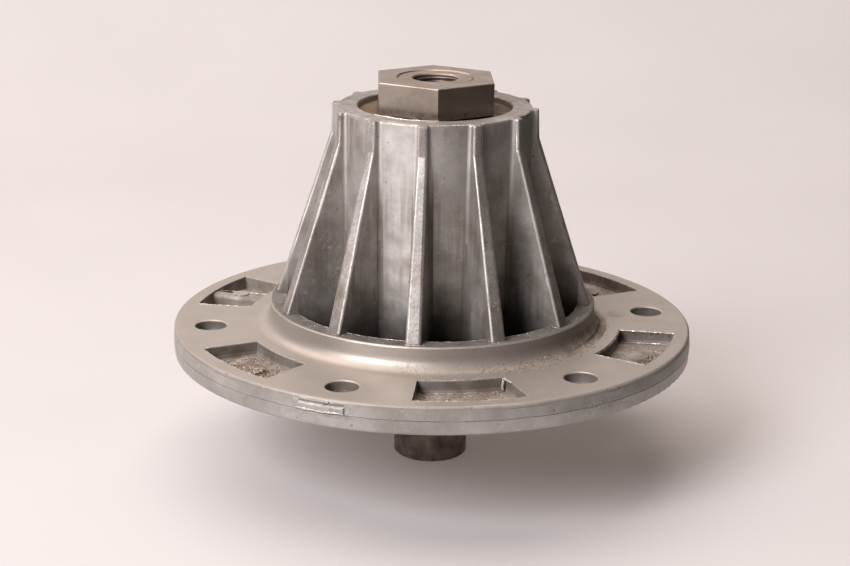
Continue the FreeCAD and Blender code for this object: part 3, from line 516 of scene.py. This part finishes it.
def newTree(name, sizes):
    # an empty geometry tree with one named input for each size
    tree = bpy.data.node_groups.new(name, "GeometryNodeTree")
    tree.interface.new_socket("Geometry", in_out="INPUT", socket_type="NodeSocketGeometry")
    for label, kind in sizes.items():
        tree.interface.new_socket(label, in_out="INPUT", socket_type=kind)
    tree.interface.new_socket("Geometry", in_out="OUTPUT", socket_type="NodeSocketGeometry")
    start = tree.nodes.new("NodeGroupInput")
    end = tree.nodes.new("NodeGroupOutput")
    return tree, start.outputs, end


def runTree(name, mesh, tree, values):
    # an object with the tree as its modifier, inputs set by the sockets' identifiers
    made = bpy.data.objects.new(name + "Base", mesh)
    scene.collection.objects.link(made)
    modifier = made.modifiers.new("shape", "NODES")
    modifier.node_group = tree
    for item in tree.interface.items_tree:
        if item.item_type == "SOCKET" and item.in_out == "INPUT" and item.name in values:
            modifier[item.identifier] = values[item.name]
    return made


def finishTree(tree, end, geometry, material):
    solid = addNode(tree, "GeometryNodeRealizeInstances", {0: geometry}).outputs[0]
    painted = addNode(tree, "GeometryNodeSetMaterial", {"Geometry": solid, "Material": material}).outputs[0]
    tree.links.new(painted, end.inputs[0])


def onRing(radius, degrees, height):
    angle = math.radians(degrees)
    return Vector((radius * math.cos(angle), radius * math.sin(angle), height)) * mm


# Thread turns in the two tapped holes: one helical ridge each, on the shaft
threadTurns = {
    "bladeBoltThread": {"radius": 9.50, "pitch": 1.5875, "turns": 20, "ridge": 0.86, "bottom": 72.4},
    "pulleyBoltThread": {"radius": 7.91, "pitch": 1.411, "turns": 23, "ridge": 0.76, "bottom": -59.7},
}
threadTree, sizesIn, treeEnd = newTree("helical thread", {
    "Radius": "NodeSocketFloat", "Pitch": "NodeSocketFloat", "Turns": "NodeSocketFloat",
    "Ridge": "NodeSocketFloat", "Bottom": "NodeSocketFloat"})
rise = addNode(threadTree, "ShaderNodeMath", {0: sizesIn["Pitch"], 1: sizesIn["Turns"]},
               operation="MULTIPLY")
helix = addNode(threadTree, "GeometryNodeCurveSpiral", {
    "Resolution": 40, "Rotations": sizesIn["Turns"], "Start Radius": sizesIn["Radius"],
    "End Radius": sizesIn["Radius"], "Height": rise.outputs[0], "Reverse": False})
upright = addNode(threadTree, "GeometryNodeSetCurveNormal", {"Curve": helix.outputs[0]}, mode="Z_UP")
ridge = addNode(threadTree, "GeometryNodeCurvePrimitiveCircle",
                {"Resolution": 3, "Radius": sizesIn["Ridge"]},
                mode="RADIUS")
tube = addNode(threadTree, "GeometryNodeCurveToMesh", {"Curve": upright.outputs[0],
                                                       "Profile Curve": ridge.outputs[0],
                                                       "Fill Caps": True})
lift = addNode(threadTree, "ShaderNodeCombineXYZ", {2: sizesIn["Bottom"]})
seated = addNode(threadTree, "GeometryNodeTransform", {"Geometry": tube.outputs[0],
                                                       "Translation": lift.outputs[0]})
finishTree(threadTree, treeEnd, seated.outputs[0], shaftSteel)
for name, turn in threadTurns.items():
    made = runTree(name, bpy.data.meshes.new(name), threadTree, {
        "Radius": turn["radius"] * mm, "Pitch": turn["pitch"] * mm, "Turns": float(turn["turns"]),
        "Ridge": turn["ridge"] * mm, "Bottom": turn["bottom"] * mm})
    keepPiece(name, made, "shaft")


# Burrs and flash: where the cutter left the turned face a ragged bright line stands on the pockets'
# edges, and where the die halves met thin metal crept out. Each follows a path, with its thickness
# broken up by noise.
burrMetal, burrTree, burrShader = newMaterial("aluminium burr, bright")
burrPoint = partCoords(burrTree)[0]
burrShade = patches(burrTree, burrPoint, 0.9, 0.35, 0.65)
burrColour = coats(burrTree, hexColour("#e2ddd6"), (burrShade, hexColour("#97908a")))
burrTree.links.new(burrColour, burrShader.inputs["Base Color"])
burrTree.links.new(zones(burrTree, 0.28, (burrShade, 0.45)), burrShader.inputs["Roughness"])
burrShader.inputs["Metallic"].default_value = 0.55

edgeTree, sizesIn, treeEnd = newTree("ragged edge", {
    "Thickness": "NodeSocketFloat", "Lump": "NodeSocketFloat", "Step": "NodeSocketFloat",
    "Seed": "NodeSocketFloat", "Least": "NodeSocketFloat", "Skin": "NodeSocketMaterial"})
path = addNode(edgeTree, "GeometryNodeMeshToCurve", {0: sizesIn["Geometry"]})
steps = addNode(edgeTree, "GeometryNodeResampleCurve",
                {"Curve": path.outputs[0], "Length": sizesIn["Step"]}, mode="LENGTH")
where = addNode(edgeTree, "GeometryNodeInputPosition").outputs[0]
lumps = addNode(edgeTree, "ShaderNodeMath", {0: 1.0, 1: sizesIn["Lump"]}, operation="DIVIDE").outputs[0]
broken = addNode(edgeTree, "ShaderNodeTexNoise", {"Vector": where, "W": sizesIn["Seed"], "Scale": lumps,
                                                  "Detail": 3.0}, noise_dimensions="4D").outputs[0]
thin = addNode(edgeTree, "ShaderNodeMapRange", {"Value": broken, "From Min": 0.42, "From Max": 0.72,
                                                "To Min": sizesIn["Least"], "To Max": 1.0}).outputs[0]
wander = addNode(edgeTree, "ShaderNodeTexNoise", {"Vector": where, "W": sizesIn["Seed"], "Scale": 900.0,
                                                  "Detail": 1.0}, noise_dimensions="4D").outputs[1]
centred = addNode(edgeTree, "ShaderNodeVectorMath", {0: wander, 1: (0.5, 0.5, 0.5)},
                  operation="SUBTRACT").outputs[0]
shake = addNode(edgeTree, "ShaderNodeVectorMath", {0: centred, "Scale": sizesIn["Thickness"]},
                operation="SCALE").outputs[0]
moved = addNode(edgeTree, "GeometryNodeSetPosition", {"Geometry": steps.outputs[0],
                                                      "Offset": shake}).outputs[0]
wire = addNode(edgeTree, "GeometryNodeCurvePrimitiveCircle",
               {"Resolution": 5, "Radius": sizesIn["Thickness"]}, mode="RADIUS")
ragged = addNode(edgeTree, "GeometryNodeCurveToMesh", {"Curve": moved, "Profile Curve": wire.outputs[0],
                                                       "Fill Caps": True, "Scale": thin})
finishTree(edgeTree, treeEnd, ragged.outputs[0], sizesIn["Skin"])


def polarPath(corners, pitch=1.0):
    # a run of edges through corners given as distance from the axis, degrees and height, a point
    # every millimetre
    points = []
    for (r0, a0, z0), (r1, a1, z1) in zip(corners, corners[1:]):
        count = max(1, round(math.hypot(r1 - r0, z1 - z0, math.radians(a1 - a0) * (r0 + r1) / 2) / pitch))
        for step in range(count):
            share = step / count
            points.append(onRing(r0 + (r1 - r0) * share, a0 + (a1 - a0) * share, z0 + (z1 - z0) * share))
    points.append(onRing(*corners[-1]))
    mesh = bpy.data.meshes.new("path")
    mesh.from_pydata(points, [(index, index + 1) for index in range(len(points) - 1)], [])
    return mesh


# runs are (distance from the axis, degrees, height) in mm; lump is the length of a burr before it thins out
pocketShape = {"inner": 80.6, "outer": 104.3, "half": 12.65, "floor": -5.5,
               "middles": (30, 90, 150, 210, 270, 330)}
edgeRuns = {
    "ledgeFlash": {"run": [(62.6, -178.0, 10.0), (62.6, -12.0, 10.0)], "thickness": 0.20, "lump": 3.0},
    "partingFlash": {"run": [(110.93, -150.0, -5.85), (110.93, -58.0, -5.85)], "thickness": 0.15,
                     "lump": 7.0},
    "gateBurr": {"run": [(110.9, -127.6, -5.5), (111.5, -126.0, -5.25), (111.55, -121.0, -5.35),
                         (111.5, -116.2, -5.25), (110.9, -114.4, -5.7)],
                 "thickness": 0.72, "lump": 1.3, "least": 0.20, "skin": housingMetal},
    "gateFlecks": {"run": [(111.62, -125.6, -4.9), (111.64, -121.0, -5.0), (111.62, -116.6, -4.9)],
                   "thickness": 0.42, "lump": 1.0, "least": 0.06},
    "gateTear": {"run": [(111.2, -121.5, -3.6), (111.35, -120.2, -2.2), (110.9, -119.2, -0.9)],
                 "thickness": 0.50, "lump": 1.2, "least": 0.10, "skin": housingMetal},
    "cornerChip": {"run": [(81.8, -78.3, -4.8), (81.6, -78.1, -0.4), (84.0, -77.7, -0.15),
                           (88.0, -77.4, -0.1)],
                   "thickness": 0.80, "lump": 5.0, "least": 0.45},
    "frontPocketFoot": {"run": [(81.0, -102.3, -5.4), (81.0, -84.0, -5.4)], "thickness": 0.36, "lump": 4.0},
    "rightPocketFoot": {"run": [(82.0, -17.7, -5.2), (103.6, -17.7, -5.2)], "thickness": 0.62, "lump": 9.0},
    "rightPocketEdge": {"run": [(81.0, -17.5, -0.25), (104.0, -17.5, -0.25)], "thickness": 0.50,
                        "lump": 1.6},
    "rightPocketTear": {"run": [(81.2, -42.0, -0.3), (81.0, -18.0, -0.3)], "thickness": 0.30, "lump": 1.6},
    "neckSeatBurr": {"run": [(32.9, -148.0, 94.0), (32.9, -96.0, 94.0)], "thickness": 0.55, "lump": 12.0},
    "rimBurr": {"run": [(40.75, -176.0, 93.75), (40.75, -4.0, 93.75)], "thickness": 0.26, "lump": 3.5},
    "webBurr": {"run": [(81.5, 146.6, -1.0), (103.8, 148.9, -1.0)], "thickness": 0.24, "lump": 3.0},
}
for number, middle in enumerate(pocketShape["middles"]):
    low, high = middle - pocketShape["half"], middle + pocketShape["half"]
    corners = [(pocketShape["inner"], low), (pocketShape["inner"], high), (pocketShape["outer"], high),
               (pocketShape["outer"], low), (pocketShape["inner"], low)]
    edgeRuns[f"pocketBurr{number + 1}"] = {"run": [(*corner, 0.0) for corner in corners],
                                           "thickness": 0.26, "lump": 2.4}
for number, middle in enumerate((-135.0, -105.0, -75.0, -45.0)):
    foot = [(64.0, middle - 2.95, 10.0), (67.7, middle - 2.8, 10.0), (67.8, middle + 2.8, 10.0)]
    edgeRuns[f"gussetFoot{number + 1}"] = {"run": foot, "thickness": 0.30, "lump": 2.4}
for number, middle in enumerate((-165.0, -135.0, -105.0, -75.0, -45.0, -15.0)):
    cap = [(42.0, middle - 2.6, 93.75), (43.35, middle - 2.3, 93.45), (43.35, middle + 2.3, 93.45)]
    edgeRuns[f"gussetCap{number + 1}"] = {"run": cap, "thickness": 0.34, "lump": 1.8}
for number, (name, edge) in enumerate(edgeRuns.items()):
    made = runTree(name, polarPath(edge["run"]), edgeTree, {
        "Thickness": edge["thickness"] * mm, "Lump": edge["lump"] * mm, "Step": 0.45 * mm,
        "Seed": float(number), "Least": edge.get("least", 0.12), "Skin": edge.get("skin", burrMetal)})
    keepPiece(name, made, "housing")


# Dry soil and grass dust: small stones scattered where a mower throws them, thickest in the pockets
gritSoil, gritTree, gritShader = newMaterial("dry soil and grass dust")
gritTone = addNode(gritTree, "ShaderNodeAttribute", attribute_name="tone").outputs["Fac"]
gritColour = coats(gritTree, hexColour("#3a3023"), (gritTone, hexColour("#8f7d5b")))
pale = addNode(gritTree, "ShaderNodeMapRange", {"Value": gritTone, "From Min": 0.74,
                                                "From Max": 0.84}).outputs[0]
gritTree.links.new(coats(gritTree, gritColour, (pale, hexColour("#b9af9d"))),
                   gritShader.inputs["Base Color"])
gritTree.links.new(zones(gritTree, 0.92, (gritTone, 0.70)), gritShader.inputs["Roughness"])

scatterTree, sizesIn, treeEnd = newTree("grit scatter", {
    "Density": "NodeSocketFloat", "Smallest": "NodeSocketFloat", "Largest": "NodeSocketFloat",
    "Drift": "NodeSocketFloat", "Seed": "NodeSocketInt", "Skin": "NodeSocketMaterial"})
gather = addNode(scatterTree, "GeometryNodeInputNamedAttribute", {"Name": "gather"},
                 data_type="FLOAT").outputs[0]
where = addNode(scatterTree, "GeometryNodeInputPosition").outputs[0]
drifts = addNode(scatterTree, "ShaderNodeMath", {0: 1.0, 1: sizesIn["Drift"]},
                 operation="DIVIDE").outputs[0]
heaps = addNode(scatterTree, "ShaderNodeTexNoise", {"Vector": where, "Scale": drifts,
                                                    "Detail": 3.0}).outputs[0]
heaped = addNode(scatterTree, "ShaderNodeMapRange", {"Value": heaps, "From Min": 0.38,
                                                     "From Max": 0.66}).outputs[0]
weight = addNode(scatterTree, "ShaderNodeMath", {0: gather, 1: heaped}, operation="MULTIPLY").outputs[0]
amount = addNode(scatterTree, "ShaderNodeMath", {0: weight, 1: sizesIn["Density"]},
                 operation="MULTIPLY").outputs[0]
spots = addNode(scatterTree, "GeometryNodeDistributePointsOnFaces",
                {"Mesh": sizesIn["Geometry"], "Density": amount, "Seed": sizesIn["Seed"]})
ball = addNode(scatterTree, "GeometryNodeMeshIcoSphere", {"Radius": 0.5, "Subdivisions": 1}).outputs[0]
chip = addNode(scatterTree, "ShaderNodeTexNoise", {"Scale": 2.3, "Detail": 1.0}).outputs[1]
chipped = addNode(scatterTree, "ShaderNodeVectorMath", {0: chip, 1: (0.5, 0.5, 0.5)},
                  operation="SUBTRACT").outputs[0]
stone = addNode(scatterTree, "GeometryNodeSetPosition", {"Geometry": ball, "Offset": chipped}).outputs[0]
turnAny = addNode(scatterTree, "FunctionNodeRandomValue",
                  {0: (0.0, 0.0, 0.0), 1: (6.283, 6.283, 6.283), "Seed": 11},
                  data_type="FLOAT_VECTOR").outputs[0]
sizeAny = addNode(scatterTree, "FunctionNodeRandomValue",
                  {2: sizesIn["Smallest"], 3: sizesIn["Largest"], "Seed": 12},
                  data_type="FLOAT").outputs[1]
stones = addNode(scatterTree, "GeometryNodeInstanceOnPoints",
                 {"Points": spots.outputs[0], "Instance": stone, "Rotation": turnAny,
                  "Scale": sizeAny}).outputs[0]
toneAny = addNode(scatterTree, "FunctionNodeRandomValue", {2: 0.0, 3: 1.0, "Seed": 13},
                  data_type="FLOAT").outputs[1]
toned = addNode(scatterTree, "GeometryNodeStoreNamedAttribute",
                {"Geometry": stones, "Name": "tone", "Value": toneAny},
                data_type="FLOAT", domain="INSTANCE").outputs[0]
finishTree(scatterTree, treeEnd, toned, sizesIn["Skin"])


def turnedPatch(name, profile, weights, span):
    # a strip of surface round the axis for grit to lie on; the weights say where along the profile
    # it gathers
    count = max(6, round((span[1] - span[0]) / 2))
    points = []
    gathered = []
    for step in range(count + 1):
        turn = span[0] + (span[1] - span[0]) * step / count
        fade = min(1.0, 6 * step / count + 0.1, 6 * (count - step) / count + 0.1)
        points += [onRing(radius, turn, height) for radius, height in profile]
        gathered += [weight * fade for weight in weights]
    width = len(profile)
    faces = [(a, a + 1, a + width + 1, a + width)
             for row in range(count) for a in range(row * width, row * width + width - 1)]
    mesh = bpy.data.meshes.new(name)
    mesh.from_pydata(points, [], faces)
    mesh.attributes.new("gather", "FLOAT", "POINT").data.foreach_set("value", gathered)
    return mesh


# density is stones per square mm at most, sizes and drift in mm
pocketFloor = [(81.3, -5.45), (86.0, -5.45), (92.5, -5.45), (99.0, -5.45), (103.7, -5.45)]
coveFoot = [(70.6, 2.65), (71.5, 1.6), (73.0, 0.6), (75.2, 0.03), (79.0, 0.0)]
gritPlaces = {
    "leftPocketGrit": {"profile": pocketFloor, "weights": (1.0, 0.8, 0.8, 0.8, 1.0),
                       "span": (-162.2, -137.8), "density": 3.2, "sizes": (0.22, 0.75), "drift": 30.0},
    "leftPadHeap": {"profile": [(86.8, -5.2), (92.4, -4.6), (97.8, -5.2)], "weights": (1.0, 0.7, 1.0),
                    "span": (-153.6, -146.4), "density": 2.4, "sizes": (0.45, 1.1), "drift": 30.0},
    "leftPadGrit": {"profile": [(89.2, -4.46), (92.4, -4.46), (95.6, -4.46)], "weights": (1.0, 1.0, 1.0),
                    "span": (-152.2, -147.8), "density": 4.5, "sizes": (0.22, 0.75), "drift": 30.0},
    "frontPocketGrit": {"profile": pocketFloor, "weights": (1.0, 0.7, 0.5, 0.5, 0.8),
                        "span": (-102.2, -77.8), "density": 1.9, "sizes": (0.20, 0.62), "drift": 6.0},
    "rightPocketGrit": {"profile": pocketFloor, "weights": (0.8, 0.4, 0.7, 1.0, 1.0),
                        "span": (-42.2, -17.8), "density": 1.0, "sizes": (0.20, 0.70), "drift": 5.0},
    "rightPadHeap": {"profile": [(93.0, -5.2), (97.0, -4.8), (101.0, -5.2)], "weights": (0.8, 1.0, 0.8),
                     "span": (-34.5, -27.0), "density": 2.2, "sizes": (0.30, 0.85), "drift": 30.0},
    "backPocketGrit": {"profile": pocketFloor, "weights": (0.8, 0.4, 0.3, 0.5, 1.0), "span": (17.8, 42.2),
                       "density": 0.9, "sizes": (0.20, 0.60), "drift": 6.0},
    "coveGrit": {"profile": coveFoot, "weights": (0.5, 0.9, 1.0, 0.6, 0.1), "span": (-92.0, -8.0),
                 "density": 1.5, "sizes": (0.18, 0.55), "drift": 4.0},
    "flangeFlecks": {"profile": [(75.6, 0.02), (78.0, 0.02), (80.4, 0.02)], "weights": (1.0, 0.8, 0.5),
                     "span": (-108.0, -58.0), "density": 0.5, "sizes": (0.18, 0.50), "drift": 5.0,
                     "skin": burrMetal},
    "ledgeFlecks": {"profile": [(62.8, 10.02), (65.0, 10.02), (69.4, 10.02)], "weights": (1.0, 0.4, 0.3),
                    "span": (-175.0, -15.0), "density": 0.22, "sizes": (0.18, 0.50), "drift": 5.0,
                    "skin": burrMetal},
    "ledgeGrit": {"profile": [(63.0, 10.02), (66.0, 10.02), (69.0, 10.02)], "weights": (1.0, 0.6, 0.4),
                  "span": (-175.0, -15.0), "density": 0.55, "sizes": (0.18, 0.50), "drift": 4.0},
    "sealGrit": {"profile": [(25.0, 91.62), (28.0, 91.62), (31.9, 91.62)], "weights": (0.7, 0.2, 1.0),
                 "span": (-180.0, 180.0), "density": 1.0, "sizes": (0.15, 0.45), "drift": 3.0},
}
for number, (name, place) in enumerate(gritPlaces.items()):
    patch = turnedPatch(name, place["profile"], place["weights"], place["span"])
    made = runTree(name, patch, scatterTree, {
        "Density": place["density"] / mm ** 2, "Smallest": place["sizes"][0] * mm,
        "Largest": place["sizes"][1] * mm, "Drift": place["drift"] * mm, "Seed": number + 1,
        "Skin": place.get("skin", gritSoil)})
    keepPiece(name, made, "housing")

# Camera where the photograph was taken, worked out from the flange's and pilot's ellipses
shot = {"turn": -8.625, "place": (0.0, -811.281, 260.33), "yaw": -0.0040, "pitch": -0.2927, "roll": 0.0139,
        "lens": 83.24, "sensor": 36.0}
yaw, pitch, roll = shot["yaw"], shot["pitch"], shot["roll"]
ahead = Vector((math.sin(yaw) * math.cos(pitch), math.cos(yaw) * math.cos(pitch), math.sin(pitch)))
across = Vector((math.cos(yaw), -math.sin(yaw), 0.0))
above = across.cross(ahead)
right = math.cos(roll) * across + math.sin(roll) * above
top = -math.sin(roll) * across + math.cos(roll) * above
stand = Matrix((right, top, -ahead)).transposed().to_4x4()
stand.translation = Vector(shot["place"]) * mm
cameraData = bpy.data.cameras.new("photo camera")
cameraData.lens = shot["lens"]
cameraData.sensor_width = shot["sensor"]
cameraData.clip_start = 0.01
camera = bpy.data.objects.new("photo camera", cameraData)
camera.matrix_world = Matrix.Rotation(math.radians(shot["turn"]), 4, "Z") @ stand
scene.collection.objects.link(camera)
scene.camera = camera
print("camera set")

# Pale paper sweep: flat under the part, then curving up behind it
sweepLook = {"height": -60.7, "flatBehind": 450.0, "bend": 800.0, "wall": 900.0, "front": 2200.0,
             "half": 2200.0, "paper": "#aaaaaa", "shade": "#a7a7a7", "glow": "#ffe4d8",
             "glowStrength": 0.12}
paper, paperTree, paperShader = newMaterial("matt white paper")
paperPoint = partCoords(paperTree)[0]
paperTone = patches(paperTree, paperPoint, 140.0, 0.3, 0.7, 2.0)
paperTree.links.new(coats(paperTree, hexColour(sweepLook["paper"]),
                          (paperTone, hexColour(sweepLook["shade"]))),
                    paperShader.inputs["Base Color"])
paperShader.inputs["Roughness"].default_value = 0.85
# the table is lit from below
paperShader.inputs["Emission Color"].default_value = hexColour(sweepLook["glow"])
paperShader.inputs["Emission Strength"].default_value = sweepLook["glowStrength"]
profile = [(-sweepLook["front"], 0.0)]
for step in range(25):
    lean = math.radians(90 * step / 24)
    profile.append((sweepLook["flatBehind"] + sweepLook["bend"] * math.sin(lean),
                    sweepLook["bend"] * (1 - math.cos(lean))))
profile.append((profile[-1][0], sweepLook["bend"] + sweepLook["wall"]))
facing = Matrix.Rotation(math.radians(shot["turn"]), 3, "Z")
corners = []
for depth, lift in profile:
    for side in (-sweepLook["half"], sweepLook["half"]):
        corners.append(facing @ Vector((side, depth, lift + sweepLook["height"])) * mm)
strips = [(2 * step, 2 * step + 1, 2 * step + 3, 2 * step + 2) for step in range(len(profile) - 1)]
sweepMesh = bpy.data.meshes.new("paperSweep")
sweepMesh.from_pydata(corners, [], strips)
sweepMesh.shade_smooth()
sweepMesh.materials.append(paper)
sweep = bpy.data.objects.new("paperSweep", sweepMesh)
scene.collection.objects.link(sweep)

# A dark card on the right, out of the picture: the bright metal on that side mirrors it and goes dark
flagLook = {"away": 250.0, "near": -700.0, "far": 520.0, "tall": 900.0, "cloth": "#1c1410"}
flagCloth, flagTree, flagShader = newMaterial("dark brown felt")
flagShader.inputs["Base Color"].default_value = hexColour(flagLook["cloth"])
flagShader.inputs["Roughness"].default_value = 0.95
flagCorners = [facing @ Vector((flagLook["away"], depth, lift + sweepLook["height"])) * mm
               for depth, lift in ((flagLook["near"], 0.0), (flagLook["far"], 0.0),
                                   (flagLook["far"], flagLook["tall"]),
                                   (flagLook["near"], flagLook["tall"]))]
flagMesh = bpy.data.meshes.new("darkCard")
flagMesh.from_pydata(flagCorners, [], [(0, 1, 2, 3)])
flagMesh.materials.append(flagCloth)
flag = bpy.data.objects.new("darkCard", flagMesh)
flag.visible_camera = False
flag.visible_diffuse = False       # it is only mirrored, and leaves the floor lit
flag.visible_shadow = False
scene.collection.objects.link(flag)

# Studio: a soft key low on the left front, a broad light overhead at the back and a dim room.
# The turn is counted from the camera's side.
studio = {
    "key": {"turn": -39.0, "lift": 33.0, "away": 2.0, "size": 1.05, "power": 58.0, "colour": "#fffafe"},
    "top": {"turn": -135.0, "lift": 67.0, "away": 2.0, "size": 3.0, "power": 80.0, "colour": "#fff1eb"},
}
room = {"colour": "#ffdccd", "strength": 0.03}
aim = Vector((0.0, 0.0, 0.03))
for name, lamp in studio.items():
    turn = math.radians(lamp["turn"] - 90.0 + shot["turn"])
    lift = math.radians(lamp["lift"])
    offset = Vector((math.cos(turn) * math.cos(lift), math.sin(turn) * math.cos(lift), math.sin(lift)))
    light = bpy.data.lights.new(name + " light", "AREA")
    light.shape = "DISK"
    light.size = lamp["size"]
    light.energy = lamp["power"]
    light.color = hexColour(lamp["colour"])[:3]
    stand = bpy.data.objects.new(name + " light", light)
    stand.location = aim + offset * lamp["away"]
    stand.rotation_euler = offset.to_track_quat("Z", "Y").to_euler()
    scene.collection.objects.link(stand)
world = bpy.data.worlds.new("dim studio")
world.use_nodes = True
scene.world = world
world.node_tree.nodes["Background"].inputs["Color"].default_value = hexColour(room["colour"])
world.node_tree.nodes["Background"].inputs["Strength"].default_value = room["strength"]
scene.view_settings.view_transform = "Standard"
print("studio set")
